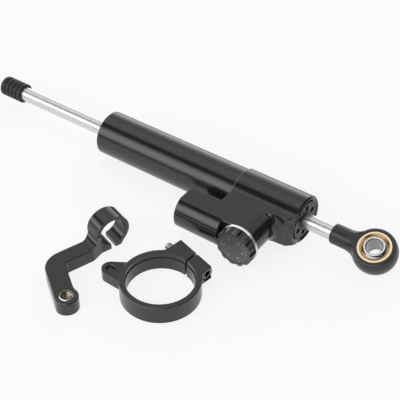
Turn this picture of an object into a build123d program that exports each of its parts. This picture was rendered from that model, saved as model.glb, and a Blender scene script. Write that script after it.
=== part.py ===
from build123d import *
import os
from math import asin, atan2, cos, degrees, hypot, radians, sin, sqrt, tan

# A through-rod steering damper with a side reservoir and a click adjuster, its fork clamp and arm bracket.
# Millimetres, +Z up. X runs along the damper, and the origin is on its axis, in the middle of the bare tube.
# The knob points to -Y. Everything lies on one flat surface at z = ground.
os.makedirs("parts", exist_ok=True)

# Clearances, all radial or per face
fit = 0.02
running = 0.05
side_play = 0.1
overrun = 1.0

# Main tube and the inner cylinder in it
tube_radius = 15.0
tube_wall = 2.2
tube_shown = 108.0
tube_neck_step = 0.8
tube_rim = 0.5
cylinder_wall = 1.0
oil_gap = 1.3
cylinder_port_radius = 1.2
cylinder_port_inset = 7.0
cylinder_port_count = 4

# Rod
rod_radius = 5.0
rod_shown_left = 78.6
rod_shown_right = 19.7
rod_thread_radius = 4.0
rod_tip_chamfer = 0.8

# Seals and bushes round the rod, alike at both ends
seal_width = 2.0
seal_length = 3.8
seal_notch = 0.7
wiper_length = 3.0
wiper_lip = 0.6
bush_wall = 1.2
o_ring_section = 1.7
thin_ring_section = 1.2
groove_play = 0.3

# Left gland and the snap rings
gland_recess = 3.0
gland_length = 13.0
gland_nose = 4.0
snap_thickness = 1.2
snap_grip = 0.9
snap_width = 1.5
snap_gap = 6.0
snap_lug_radius = 1.6
snap_lug_hole = 0.7

# Valve housing: sleeve, plate, reservoir barrel and knob boss milled in one piece
housing_radius = 16.0
housing_length = 47.2
housing_rim_left = 0.6
housing_rim_right = 1.0
gallery_gap = 0.7
gallery_length = 6.0
cylinder_seat_length = 2.5
plate_half = 11.0
plate_setback = 1.0
plate_blend = 8.0
plate_edge = 0.5
slot_corner = 4.0
boss_reach = 40.0
boss_blend = 5.0
wall_reach = 17.3
wall_end = 3.7
taper_length = 7.4
taper_round = 5.0
taper_bulge_share = 0.85
taper_knee_share = 0.43
knob_share = 0.6

# End gland nut in the housing
nut_radius = 12.4
nut_length = 13.8
nut_clearance = 2.5
nut_recess = 0.4
mouth_width = 2.2
mouth_depth = 1.8
pin_hole_radius = 1.9
pin_hole_circle = 8.65
pin_hole_depth = 4.0
pin_hole_count = 6
pin_hole_turn = 22.0

# Piston on the rod
piston_length = 10.0
piston_place = -2.0
piston_gap = 0.15
band_length = 3.0
band_depth = 1.3
clip_thickness = 1.0
clip_depth = 0.7
clip_height = 1.2
clip_gap = 3.0

# Cap on the rod's free end
cap_radius = 6.9
cap_length = 18.4
cap_groove_count = 4
cap_pitch = 3.6
cap_groove_width = 1.1
cap_groove_depth = 0.6
cap_round = 1.0
cap_edge = 0.3
cap_end_wall = 2.0

# Rod end
shank_radius = 6.5
shank_chamfer = 0.8
shank_straight = 10.1
shank_thread_depth = 13.0
eye_distance = 28.6
eye_tilt = 22.0
head_radius = 14.0
head_half = 6.2
head_flare = 9.2
flare_bend_share = 0.55
flare_rise_share = 0.3
head_edge = 0.5
race_radius = 10.5
race_recess = 0.3
race_mouth = 9.1
race_bevel_width = 1.3
race_bevel_depth = 0.5
ball_radius = 9.5
ball_half = 7.0
ball_bore = 5.0
ball_bore_chamfer = 0.5

# Adjuster: needle, seat, spindle, detent and knob, on an axis along -Y
seat_start = 17.5
seat_length = 3.0
seat_radius = 3.2
seat_hole = 1.3
seat_mouth = 0.5
chamber_radius = 3.3
chamber_share = 0.333
needle_thread_radius = 3.5
needle_thread_share = 0.308
needle_stem_radius = 2.0
needle_tip_radius = 0.4
needle_taper = 0.367
needle_travel = 0.417
needle_closed_gap = 0.05
tang_width = 1.5
tang_height = 5.0
tang_length = 2.5
tang_slot_depth = 2.4
spindle_radius = 5.0
spindle_play = 0.4
spindle_neck = 3.5
spindle_flat = 2.8
spindle_ring_section = 1.4
washer_radius = 12.9
washer_thickness = 1.7
washer_edge = 0.3
washer_screw_circle = 6.9
washer_screw_radius = 1.0
washer_screw_head = 1.9
washer_screw_length = 6.0
washer_screw_socket = 0.65
knob_radius = 12.65
knob_depth = 5.7
knob_gap = 0.2
knob_bevel = 0.5
scallop_count = 12
scallop_turn = 10.0
scallop_radius = 3.6
scallop_depth = 1.3
dial_radius = 10.3
dial_recess = 0.8
dial_thickness = 0.6
knob_floor = 2.6
screw_radius = 1.5
screw_head_radius = 2.75
screw_head_length = 1.5
screw_length = 7.5
screw_socket = 1.25
detent_circle = 9.8
detent_ball_radius = 1.0
detent_groove_depth = 0.4
detent_groove_half = 0.95
detent_notch_radius = 0.7
detent_notch_depth = 0.35
detent_count = 24
detent_spring_length = 1.9
detent_spring_wall = 0.3

# Oil ways in the housing
port_radius = 1.5
cross_port_radius = 1.2
reservoir_port_radius = 0.9

# Reservoir beside the main tube
reservoir_offset = 33.5
reservoir_radius = 12.5
reservoir_length = 32.4
reservoir_side_gap = 0.7
reservoir_bore = 9.6
reservoir_floor = 4.5
reservoir_rim = 0.6
reservoir_cap_recess = 2.0
reservoir_cap_length = 5.0
float_length = 6.0
float_place = 9.5
float_dish = 3.0
filler_radius = 2.0
filler_head_radius = 3.4
filler_head_length = 1.8
filler_socket = 1.5

# Fork clamp, given about its own bore with +X out through its lugs
clamp_x = 56.6
clamp_y = -89.2
clamp_turn = 80.0
clamp_bore = 20.5
clamp_radius = 24.5
clamp_height = 12.0
clamp_step = 0.6
clamp_step_depth = 3.5
clamp_edge = 0.4
lug_side_left = 16.0
lug_side_right = 14.0
lug_reach_left = 31.8
lug_reach_right = 28.6
lug_undercut = 2.6
lug_slot = 1.6
lug_blend_left = 5.0
lug_blend_right = 4.0
lug_round = 1.0
bolt_reach = 25.5
bolt_height = 7.3
bolt_radius = 2.5
bolt_length = 30.0
bolt_head_radius = 4.25
bolt_head_length = 5.0
bolt_socket = 2.3
bolt_socket_depth = 2.6
bolt_clearance = 0.25
bolt_chamfer = 0.5
counterbore_depth = 5.6
counterbore_radius = 4.4
ear_x = -32.4
ear_y = -6.7
ear_radius = 5.5
ear_height = 7.3
ear_hole = 2.5
ear_hole_chamfer = 0.5
ear_upper_slope = 32.0
ear_lower_slope = -2.0
ear_root_share = 0.93

# Arm bracket, given from the front face of its ring: X along the ring's bore, Y across to the ring
arm_x = 8.7
arm_y = -77.1
arm_turn = -19.3
arm_thickness = 9.2
arm_ring_radius = 11.4
arm_ring_bore = 9.1
arm_ring_length = 12.0
arm_ring_place = 2.36
arm_ring_lift = 1.2
arm_slot_place = 0.5
arm_slot_width = 2.9
arm_jaw_side = 12.1
arm_jaw_height = 7.3
arm_jaw_foot = 7.4
arm_jaw_lift = 0.4
arm_ring_blend = 6.0
arm_bar_outer = 7.5
arm_bar_inner = 3.2
arm_blend_start = 14.0
arm_blend_end = 6.5
arm_corner_round = 14.0
arm_elbow_round = 3.0
arm_leg_slope = -16.5
arm_boss_x = 27.6
arm_boss_y = -46.4
arm_boss_radius = 7.2
arm_waist_half = 5.4
arm_waist_round = 10.0
arm_edge = 0.5
insert_radius = 4.3
insert_bore = 3.2
insert_proud = 0.3
insert_chamfer = 0.4

# Stations along X
tube_left = -tube_shown / 2
housing_left = tube_left + tube_shown
housing_right = housing_left + housing_length
nut_face = housing_right - nut_recess
nut_left = nut_face - nut_length
cylinder_right = nut_left - nut_clearance
gallery_right = cylinder_right - cylinder_seat_length
tube_right = gallery_right - gallery_length
gland_face = tube_left + gland_recess
gland_shoulder = gland_face + gland_length
gland_end = gland_shoulder + gland_nose
cap_right = tube_left - rod_shown_left
cap_left = cap_right - cap_length
shank_left = housing_right + rod_shown_right
eye_x = shank_left + eye_distance
knob_x = tube_right + gallery_length * knob_share
reservoir_right = knob_x - washer_radius - reservoir_side_gap
reservoir_left = reservoir_right - reservoir_length
reservoir_cap_left = reservoir_left + reservoir_cap_recess
reservoir_cap_right = reservoir_cap_left + reservoir_cap_length
reservoir_ring_x = (reservoir_cap_left + reservoir_cap_right) / 2
gland_groove_x = gland_shoulder - o_ring_section * 2
nut_groove_x = nut_left + o_ring_section * 2

# Radii and levels that follow
ground = -housing_radius
tube_bore = tube_radius - tube_wall
tube_neck_radius = tube_radius - tube_neck_step
cylinder_radius = tube_bore - oil_gap
cylinder_bore = cylinder_radius - cylinder_wall
gallery_radius = cylinder_radius + gallery_gap
rod_hole = rod_radius + running
seal_radius = rod_radius + seal_width
bush_radius = rod_radius + bush_wall
band_inner = cylinder_bore - band_depth
arm_ring_height = arm_ring_radius + arm_ring_lift

# Places along the knob's axis, counted outwards from the damper's axis
seat_end = seat_start + seat_length
chamber_end = seat_end + (boss_reach - seat_end) * chamber_share
needle_bore_end = chamber_end + (boss_reach - seat_end) * needle_thread_share
washer_face = boss_reach + washer_thickness
knob_back = washer_face + knob_gap
knob_front = knob_back + knob_depth
spindle_ring_x = (needle_bore_end + boss_reach) / 2
detent_ball_centre = washer_face - detent_groove_depth + detent_ball_radius + side_play
detent_hole_depth = detent_ball_centre + detent_ball_radius + detent_spring_length - knob_back


# Shapes that several pieces share

def lathe(*profile):
    """Solid of revolution about X from (x, radius) points."""
    return revolve(make_face(Polyline(*profile, close=True)), Axis.X)


def bar(start, end, radius):
    """Round bar along X."""
    return lathe((start, 0), (end, 0), (end, radius), (start, radius))


def tube(start, end, outer, inner):
    """Round tube along X."""
    return lathe((start, inner), (end, inner), (end, outer), (start, outer))


def hexagon(start, end, radius):
    """Six-sided bar along X."""
    return Pos(start, 0, 0) * Rot(0, 90, 0) * extrude(RegularPolygon(radius, 6), end - start)


def o_ring(centre, outer, section):
    """Rubber ring whose outside just clears the radius that it seals against."""
    thickness = section / 2
    return Pos(centre, 0, 0) * Rot(0, 90, 0) * Torus(outer - fit - thickness, thickness)


def o_ring_groove(centre, outer, section):
    """Cut for such a ring in a round plug."""
    half = section / 2 + groove_play
    return tube(centre - half, centre + half, outer + overrun, outer - section - 2 * fit)


def on_knob_axis(shape):
    """Turns a shape made along X on to the knob's axis."""
    return Pos(knob_x, 0, 0) * Rot(0, 0, -90) * shape


def on_reservoir_axis(shape):
    """Shifts a shape made about X on to the reservoir's axis."""
    return Pos(0, -reservoir_offset, 0) * shape


def inner_snap_ring(left, bore):
    """Snap ring in a bore, open at the top, with two pierced lugs."""
    right = left + snap_thickness
    ring = tube(left, right, bore + snap_grip, bore - snap_width)
    opening = Pos((left + right) / 2, 0, bore) * Box(snap_thickness + overrun, snap_gap, bore)
    lug_place = asin((snap_gap / 2 + snap_lug_radius) / bore)
    lug_circle = bore - snap_width - snap_lug_radius / 2
    ring -= opening
    for side in (-1, 1):
        place = Pos(0, side * lug_circle * sin(lug_place), lug_circle * cos(lug_place))
        ring += place * bar(left, right, snap_lug_radius)
        ring -= place * bar(left - overrun, right + overrun, snap_lug_hole)
    return ring


def inner_snap_groove(left, bore):
    """Groove for that ring."""
    return tube(left - fit, left + snap_thickness + fit, bore + snap_grip + fit, bore - overrun)


def rod_seal(start, outwards):
    """Lip seal with its notch on the oil side; outwards is +1 or -1 along X."""
    end = start + outwards * seal_length
    middle = (rod_hole + seal_radius) / 2
    return lathe(
        (start, rod_hole),
        (end, rod_hole),
        (end, seal_radius - fit),
        (start, seal_radius - fit),
        (start, middle + seal_notch / 2),
        (start + outwards * seal_notch * 2, middle),
        (start, middle - seal_notch / 2),
    )


def rod_wiper(face, outwards):
    """Dust wiper whose lip stands out of the gland's face."""
    back = face - outwards * wiper_length
    lip = face + outwards * wiper_lip
    return lathe(
        (back + outwards * fit, rod_hole),
        (lip, rod_hole),
        (lip, rod_hole + wiper_lip / 2),
        (face, seal_radius - wiper_lip),
        (face, seal_radius - fit),
        (back + outwards * fit, seal_radius - fit),
    )


# Main tube, inner cylinder and left gland

def main_tube():
    left, right = tube_left, tube_right
    body = lathe(
        (left, tube_bore + tube_rim),
        (left + tube_rim, tube_bore),
        (right, tube_bore),
        (right, tube_neck_radius),
        (housing_left, tube_neck_radius),
        (housing_left, tube_radius),
        (left + tube_rim, tube_radius),
        (left, tube_radius - tube_rim),
    )
    return body - inner_snap_groove(gland_face - snap_thickness, tube_bore)


def inner_cylinder():
    body = tube(gland_shoulder, cylinder_right, cylinder_radius, cylinder_bore)
    port_x = gland_shoulder + cylinder_port_inset
    port = Pos(port_x, 0, cylinder_bore) * Cylinder(cylinder_port_radius, 2 * cylinder_wall + overrun)
    for turn in range(cylinder_port_count):
        body -= Rot(360 / cylinder_port_count * turn, 0, 0) * port
    return body


def left_gland():
    pocket_end = gland_face + wiper_length + seal_length
    body = lathe(
        (gland_face, seal_radius),
        (pocket_end, seal_radius),
        (pocket_end, bush_radius),
        (gland_end, bush_radius),
        (gland_end, cylinder_bore - fit),
        (gland_shoulder, cylinder_bore - fit),
        (gland_shoulder, tube_bore - fit),
        (gland_face, tube_bore - fit),
    )
    return body - o_ring_groove(gland_groove_x, tube_bore, o_ring_section)


# Valve housing

def wall_corner():
    """Where the plate's short right wall ends and its taper to the end face starts."""
    return housing_right - wall_end, -wall_reach


def plate_outline():
    """Plan of the plate: slot corner by the reservoir, knob boss, short wall and rounded taper."""
    left = housing_left + plate_setback
    flat_edge = reservoir_offset - sqrt(reservoir_radius ** 2 - plate_half ** 2)
    boss_side = knob_x + plate_half
    corner_x, corner_y = wall_corner()
    taper_y = corner_y + taper_length
    taper_x = corner_x + wall_end * taper_bulge_share
    points_and_rounds = [
        ((left, 0), 0),
        ((left, -flat_edge), slot_corner),
        ((left - 2 * slot_corner, -flat_edge), 0),
        ((left - 2 * slot_corner, -reservoir_offset), 0),
        ((reservoir_right, -reservoir_offset), 0),
        ((reservoir_right, -boss_reach), 0),
        ((boss_side, -boss_reach), 0),
        ((boss_side, corner_y), boss_blend),
        ((corner_x, corner_y), 0),
        ((taper_x, corner_y + (taper_y - corner_y) * taper_knee_share), taper_round),
        ((housing_right, taper_y), 0),
        ((housing_right, 0), 0),
    ]
    points = [point for point, _ in points_and_rounds]
    rounds = [radius for _, radius in points_and_rounds]
    return make_face(FilletPolyline(*points, radius=rounds, close=True))


def housing_plate():
    """The flat plate, with the knob boss turned round on its free side."""
    plate = extrude(plate_outline(), plate_half, both=True)
    rims = plate.edges().filter_by(lambda edge: abs(abs(edge.center().Z) - plate_half) < plate_edge / 2)
    rims = rims.filter_by(lambda edge: abs(edge.center().X - reservoir_right) > plate_edge)
    plate = chamfer(rims, plate_edge)
    corner = Pos(knob_x, -wall_reach, 0) * Box(
        housing_length, boss_reach, 2 * plate_half + overrun, align=(Align.MIN, Align.MAX, Align.CENTER)
    )
    return plate - (corner - knob_boss())


def knob_boss():
    """Turned boss under the knob, flared out to the wall it grows from."""
    flare_end = wall_reach + boss_blend
    foot = plate_half + boss_blend
    arc_middle = boss_blend * (1 - sqrt(0.5))
    outline = Polyline((flare_end, plate_half), (boss_reach, plate_half), (boss_reach, 0), (wall_reach, 0),
                       (wall_reach, foot))
    flare = ThreePointArc((wall_reach, foot), (wall_reach + arc_middle, plate_half + arc_middle),
                          (flare_end, plate_half))
    return on_knob_axis(revolve(make_face([*outline.edges(), flare]), Axis.X))


def plate_fillet():
    """Hollow fillet between the plate's flat faces and the round sleeve, above and below."""
    reach = housing_radius + plate_blend
    height = plate_half + plate_blend
    centre_y = -sqrt(reach ** 2 - height ** 2)
    on_sleeve = (centre_y * housing_radius / reach, height * housing_radius / reach)
    on_plate = (centre_y, plate_half)
    middle_turn = (atan2(plate_half - height, 0) + atan2(on_sleeve[1] - height, on_sleeve[0] - centre_y)) / 2
    middle = (centre_y + plate_blend * cos(middle_turn), height + plate_blend * sin(middle_turn))
    inside = (on_sleeve[0] * plate_half / housing_radius, 0)
    section = make_face([
        *Polyline(on_sleeve, inside, (centre_y, 0), on_plate).edges(),
        ThreePointArc(on_plate, middle, on_sleeve),
    ])
    upper = Pos(housing_left + plate_setback, 0, 0) * extrude(Plane.YZ * section, housing_length)
    bound = extrude(plate_outline(), housing_radius, both=True)
    return (upper + mirror(upper, Plane.XY)) & bound


def housing_sleeve():
    return lathe(
        (housing_left, 0),
        (housing_right, 0),
        (housing_right, housing_radius - housing_rim_right),
        (housing_right - housing_rim_right, housing_radius),
        (housing_left + housing_rim_left, housing_radius),
        (housing_left, housing_radius - housing_rim_left),
    )


def reservoir_barrel():
    """Reservoir outside: a round barrel milled flat with the plate above and below."""
    barrel = lathe(
        (reservoir_left, 0),
        (reservoir_right, 0),
        (reservoir_right, reservoir_radius - reservoir_rim),
        (reservoir_right - reservoir_rim, reservoir_radius),
        (reservoir_left + reservoir_rim, reservoir_radius),
        (reservoir_left, reservoir_radius - reservoir_rim),
    )
    slab = Pos((reservoir_left + reservoir_right) / 2, 0, 0) * Box(
        reservoir_length + overrun, 2 * reservoir_radius + overrun, 2 * plate_half
    )
    return on_reservoir_axis(barrel & slab)


def main_bores():
    """Bores for the tube, the oil gallery and the inner cylinder's end, and the nut's flared bore."""
    o_ring_seat = tube_right + thin_ring_section + 2 * fit
    o_ring_inner = tube_neck_radius - thin_ring_section - groove_play
    return lathe(
        (housing_left - overrun, 0),
        (housing_left - overrun, tube_neck_radius + fit),
        (o_ring_seat, tube_neck_radius + fit),
        (o_ring_seat, o_ring_inner),
        (tube_right, o_ring_inner),
        (tube_right, gallery_radius),
        (gallery_right, gallery_radius),
        (gallery_right, cylinder_radius + fit),
        (cylinder_right, cylinder_radius + fit),
        (cylinder_right, nut_radius + fit),
        (housing_right - mouth_depth, nut_radius + fit),
        (housing_right, nut_radius + mouth_width),
        (housing_right + overrun, nut_radius + mouth_width),
        (housing_right + overrun, 0),
    )


def adjuster_bores():
    """Stepped bore along the knob's axis, from the gallery out to the boss face."""
    return on_knob_axis(lathe(
        (cylinder_radius, 0),
        (cylinder_radius, port_radius),
        (seat_start, port_radius),
        (seat_start, seat_radius + fit),
        (seat_end, seat_radius + fit),
        (seat_end, chamber_radius),
        (chamber_end, chamber_radius),
        (chamber_end, needle_thread_radius),
        (needle_bore_end, needle_thread_radius),
        (needle_bore_end, spindle_radius),
        (boss_reach + overrun, spindle_radius),
        (boss_reach + overrun, 0),
    ))


def cross_port():
    """Slanted oil way from the end of the inner cylinder to the needle's chamber."""
    start = Vector(cylinder_right + cross_port_radius, -cylinder_bore, 0)
    end = Vector(knob_x, -(seat_end + cross_port_radius), 0)
    run = end - start
    turn = degrees(atan2(run.Y, run.X))
    return Pos(start) * Rot(0, 0, turn) * bar(0, run.length, cross_port_radius)


def reservoir_port():
    """Straight oil way from the reservoir's floor to the needle's chamber."""
    level = -(chamber_end - chamber_radius / 2)
    return Pos(0, level, 0) * bar(reservoir_right - reservoir_floor - overrun, knob_x, reservoir_port_radius)


def reservoir_bores():
    bore = bar(reservoir_left - overrun, reservoir_right - reservoir_floor, reservoir_bore)
    groove = inner_snap_groove(reservoir_cap_left - snap_thickness, reservoir_bore)
    return on_reservoir_axis(bore + groove)


def washer_screw_places(shape):
    """Two copies of a shape made along the knob's axis, above and below it."""
    return [on_knob_axis(Pos(0, 0, side * washer_screw_circle) * shape) for side in (-1, 1)]


def valve_housing():
    body = housing_sleeve() + housing_plate() + plate_fillet() + reservoir_barrel()
    body -= main_bores()
    body -= adjuster_bores()
    body -= cross_port()
    body -= reservoir_port()
    body -= reservoir_bores()
    hole_depth = boss_reach - washer_screw_length + washer_thickness - overrun
    for hole in washer_screw_places(bar(hole_depth, boss_reach + overrun, washer_screw_radius + fit)):
        body -= hole
    return body


# End gland nut

def end_gland_nut():
    pocket_start = nut_face - wiper_length - seal_length
    body = lathe(
        (nut_left, bush_radius),
        (pocket_start, bush_radius),
        (pocket_start, seal_radius),
        (nut_face, seal_radius),
        (nut_face, nut_radius - nut_recess),
        (nut_face - nut_recess, nut_radius),
        (nut_left, nut_radius),
    )
    hole = Pos(0, pin_hole_circle, 0) * bar(nut_face - pin_hole_depth, nut_face + overrun, pin_hole_radius)
    for turn in range(pin_hole_count):
        body -= Rot(pin_hole_turn + 360 / pin_hole_count * turn, 0, 0) * hole
    return body - o_ring_groove(nut_groove_x, nut_radius, o_ring_section)


# Piston, rod and cap

def piston():
    left = piston_place - piston_length / 2
    right = left + piston_length
    band_left = piston_place - band_length / 2 - running
    band_right = piston_place + band_length / 2 + running
    outer = cylinder_bore - piston_gap
    groove = tube(band_left, band_right, outer + overrun, band_inner - fit)
    return tube(left, right, outer, rod_hole) - groove


def piston_ring():
    left = piston_place - band_length / 2
    return tube(left, left + band_length, cylinder_bore - running, band_inner)


def clip_stations():
    """Left sides of the two snap rings that hold the piston on the rod."""
    reach = piston_length / 2 + side_play
    return piston_place - reach - clip_thickness, piston_place + reach


def piston_rod():
    left = cap_left + cap_end_wall
    right = shank_left + shank_thread_depth
    body = lathe(
        (left, 0),
        (left, rod_radius - rod_tip_chamfer),
        (left + rod_tip_chamfer, rod_radius),
        (shank_left, rod_radius),
        (shank_left, rod_thread_radius),
        (right - rod_tip_chamfer, rod_thread_radius),
        (right, rod_thread_radius - rod_tip_chamfer),
        (right, 0),
    )
    groove_floor = rod_radius - clip_depth
    for station in clip_stations():
        body -= tube(station - fit, station + clip_thickness + fit, rod_radius + overrun, groove_floor)
    return body


def piston_clips():
    outer = rod_radius + clip_height
    clips = []
    for station in clip_stations():
        ring = tube(station, station + clip_thickness, outer, rod_radius - clip_depth + fit)
        opening = Pos(station, 0, outer) * Box(2 * clip_thickness + overrun, clip_gap, 2 * outer,
                                               align=(Align.CENTER, Align.CENTER, Align.CENTER))
        clips.append(ring - opening)
    return Compound(children=clips)


def rod_cap():
    """Ribbed push-on cap: bands between grooves, and a rounded blind end."""
    body = lathe(
        (cap_left, 0),
        (cap_right, 0),
        (cap_right, cap_radius - cap_edge),
        (cap_right - cap_edge, cap_radius),
        (cap_left, cap_radius),
    )
    end_rim = body.edges().filter_by(GeomType.CIRCLE).sort_by(Axis.X)[0]
    body = fillet(end_rim, cap_round)
    first = cap_right - cap_pitch + cap_groove_width / 2
    for index in range(cap_groove_count):
        middle = first - index * cap_pitch
        body -= tube(middle - cap_groove_width / 2, middle + cap_groove_width / 2, cap_radius + overrun,
                     cap_radius - cap_groove_depth)
    return body - bar(cap_left + cap_end_wall - fit, cap_right + overrun, rod_radius + fit)


# Rod end

def about_eye(shape):
    """Stands a shape made along Z about the origin into the tilted eye."""
    return Pos(eye_x, 0, 0) * Rot(eye_tilt, 0, 0) * shape


def turned_z(*profile):
    """Solid of revolution about Z from (radius, z) points."""
    return revolve(Plane.XZ * make_face(Polyline(*profile, close=True)), Axis.Z)


def rod_end_housing():
    head = Sphere(head_radius) & Box(2 * head_radius, 2 * head_radius, 2 * head_half)
    rims = head.edges().filter_by(GeomType.CIRCLE).filter_by(lambda edge: edge.radius < head_radius)
    head = chamfer(rims, head_edge)
    flare_start = shank_left + shank_straight
    flare_end = eye_x - sqrt(head_radius ** 2 - head_flare ** 2)
    bend_x = flare_start + (flare_end - flare_start) * flare_bend_share
    bend_r = shank_radius + (head_flare - shank_radius) * flare_rise_share
    outline = Polyline(
        (flare_end, head_flare),
        (eye_x, head_flare),
        (eye_x, 0),
        (shank_left, 0),
        (shank_left, shank_radius - shank_chamfer),
        (shank_left + shank_chamfer, shank_radius),
        (flare_start, shank_radius),
    )
    flare = ThreePointArc((flare_start, shank_radius), (bend_x, bend_r), (flare_end, head_flare))
    shank = revolve(make_face([*outline.edges(), flare]), Axis.X)
    band = Pos((shank_left + eye_x) / 2, 0, 0) * Rot(eye_tilt, 0, 0) * Box(
        eye_distance + overrun, 2 * head_radius, 2 * shank_radius
    )
    body = about_eye(head) + (shank & band)
    body -= about_eye(Cylinder(race_radius + fit, 2 * head_radius))
    return body - bar(shank_left - overrun, shank_left + shank_thread_depth + fit, rod_thread_radius + fit)


def rod_end_race():
    """Race with a bevelled mouth on each side and a round hollow for the ball."""
    half = head_half - race_recess
    inner = race_mouth - race_bevel_width
    body = turned_z(
        (inner, -half + race_bevel_depth),
        (race_mouth, -half),
        (race_radius, -half),
        (race_radius, half),
        (race_mouth, half),
        (inner, half - race_bevel_depth),
    )
    return about_eye(body - Sphere(ball_radius + running))


def rod_end_ball():
    ball = Sphere(ball_radius) & Box(2 * ball_radius, 2 * ball_radius, 2 * ball_half)
    flare = ball_bore + ball_bore_chamfer
    bore = turned_z(
        (0, -ball_half - overrun),
        (flare + overrun, -ball_half - overrun),
        (ball_bore, -ball_half + ball_bore_chamfer),
        (ball_bore, ball_half - ball_bore_chamfer),
        (flare + overrun, ball_half + overrun),
        (0, ball_half + overrun),
    )
    return about_eye(ball - bore)


# Adjuster

def needle_seat():
    """Pressed-in seat with a bevelled mouth towards the needle."""
    return on_knob_axis(lathe(
        (seat_start, seat_hole),
        (seat_end - seat_mouth, seat_hole),
        (seat_end, seat_hole + seat_mouth),
        (seat_end, seat_radius),
        (seat_start, seat_radius),
    ))


def adjuster_needle():
    """Tapered needle, threaded in the housing, with a slot that the spindle's tang turns."""
    seat_edge = seat_end - seat_mouth
    edge_radius = seat_hole - needle_closed_gap - needle_taper * needle_travel
    tip = seat_edge - (edge_radius - needle_tip_radius) / needle_taper
    taper_end = tip + (needle_stem_radius - needle_tip_radius) / needle_taper
    back = needle_bore_end - needle_travel - 2 * side_play
    thread = needle_thread_radius - running
    body = lathe(
        (tip, 0),
        (tip, needle_tip_radius),
        (taper_end, needle_stem_radius),
        (chamber_end + needle_travel, needle_stem_radius),
        (chamber_end + needle_travel, thread),
        (back, thread),
        (back, 0),
    )
    slot = Pos(back + overrun, 0, 0) * Box(
        tang_slot_depth + overrun, tang_width + 2 * running, 2 * needle_thread_radius,
        align=(Align.MAX, Align.CENTER, Align.CENTER),
    )
    return on_knob_axis(body - slot)


def adjuster_spindle():
    """Spindle with a sealed journal, a flatted neck for the knob and a tang for the needle."""
    journal = spindle_radius - running
    journal_start = needle_bore_end + spindle_play
    journal_end = boss_reach - spindle_play
    neck_end = knob_front - dial_recess - knob_floor
    body = bar(journal_start, journal_end, journal)
    neck = bar(journal_end, neck_end, spindle_neck) & Pos((journal_end + neck_end) / 2, 0, 0) * Box(
        knob_front, 2 * spindle_flat, 2 * spindle_neck
    )
    tang = Pos(journal_start, 0, 0) * Box(
        tang_length, tang_width, tang_height, align=(Align.MAX, Align.CENTER, Align.CENTER)
    )
    body = body + neck + tang
    hole_depth = washer_face + washer_thickness - screw_length - overrun
    body -= bar(hole_depth, neck_end + overrun, screw_radius + fit)
    return on_knob_axis(body - o_ring_groove(spindle_ring_x, journal, spindle_ring_section))


def spindle_o_ring():
    return on_knob_axis(o_ring(spindle_ring_x, spindle_radius - running, spindle_ring_section))


def adjuster_washer():
    """Detent washer: a ring groove with notches on its front, and two sunk screw holes."""
    body = lathe(
        (boss_reach, spindle_neck + side_play),
        (washer_face, spindle_neck + side_play),
        (washer_face, washer_radius - washer_edge),
        (washer_face - washer_edge, washer_radius),
        (boss_reach + washer_edge, washer_radius),
        (boss_reach, washer_radius - washer_edge),
    )
    groove_floor = washer_face - detent_groove_depth
    body -= tube(groove_floor, washer_face + overrun, detent_circle + detent_groove_half,
                 detent_circle - detent_groove_half)
    notch = detent_place(bar(groove_floor - detent_notch_depth, washer_face, detent_notch_radius))
    for turn in range(detent_count):
        body -= Rot(360 / detent_count * turn, 0, 0) * notch
    body = on_knob_axis(body)
    for screw in washer_screw_places(sunk_screw_hole()):
        body -= screw
    return body


def sunk_screw_hole():
    """Countersunk hole through the washer."""
    cone_depth = washer_screw_head - washer_screw_radius
    return lathe(
        (boss_reach - overrun, 0),
        (boss_reach - overrun, washer_screw_radius + fit),
        (washer_face - cone_depth - fit, washer_screw_radius + fit),
        (washer_face, washer_screw_head + 2 * fit),
        (washer_face + overrun, washer_screw_head + 2 * fit),
        (washer_face + overrun, 0),
    )


def washer_screws():
    cone_depth = washer_screw_head - washer_screw_radius
    tip = washer_face - washer_screw_length
    top = washer_face - fit
    body = lathe(
        (tip, 0),
        (tip, washer_screw_radius),
        (top - cone_depth, washer_screw_radius),
        (top, washer_screw_head),
        (top, 0),
    )
    body -= hexagon(top - cone_depth, top + overrun, washer_screw_socket)
    return Compound(children=washer_screw_places(body))


def adjuster_knob():
    """Scalloped knob with a flatted bore, a sunk dial seat and a blind hole for the detent."""
    dial_floor = knob_front - dial_recess
    screw_floor = dial_floor - knob_floor + side_play
    body = lathe(
        (knob_back, 0),
        (knob_back, knob_radius),
        (knob_front - knob_bevel, knob_radius),
        (knob_front, knob_radius - knob_bevel),
        (knob_front, 0),
    )
    scallop = Pos(0, 0, knob_radius + scallop_radius - scallop_depth) * bar(
        knob_back - overrun, knob_front + overrun, scallop_radius
    )
    for turn in range(scallop_count):
        body -= Rot(scallop_turn + 360 / scallop_count * turn, 0, 0) * scallop
    bore = bar(knob_back - overrun, knob_front, spindle_neck + fit) & Pos(knob_back, 0, 0) * Box(
        knob_front, 2 * (spindle_flat + fit), 2 * spindle_radius
    )
    body -= bore
    body -= bar(screw_floor, knob_front, screw_head_radius + side_play)
    body -= bar(dial_floor, knob_front + overrun, dial_radius + fit)
    detent_hole = bar(knob_back - overrun, knob_back + detent_hole_depth, detent_ball_radius + running)
    body -= detent_place(detent_hole)
    return on_knob_axis(body)


def detent_place(shape):
    """Puts a shape made along the knob's axis over the detent circle."""
    return Pos(0, 0, detent_circle) * shape


def detent_ball():
    return on_knob_axis(detent_place(Pos(detent_ball_centre, 0, 0) * Sphere(detent_ball_radius)))


def detent_spring():
    """Small coil spring behind the ball, as its plain outer shape."""
    start = detent_ball_centre + detent_ball_radius + fit
    end = knob_back + detent_hole_depth - fit
    outer = detent_ball_radius - side_play
    return on_knob_axis(detent_place(tube(start, end, outer, outer - detent_spring_wall)))


def knob_face():
    floor = knob_front - dial_recess
    return on_knob_axis(bar(floor, floor + dial_thickness, dial_radius))


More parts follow.
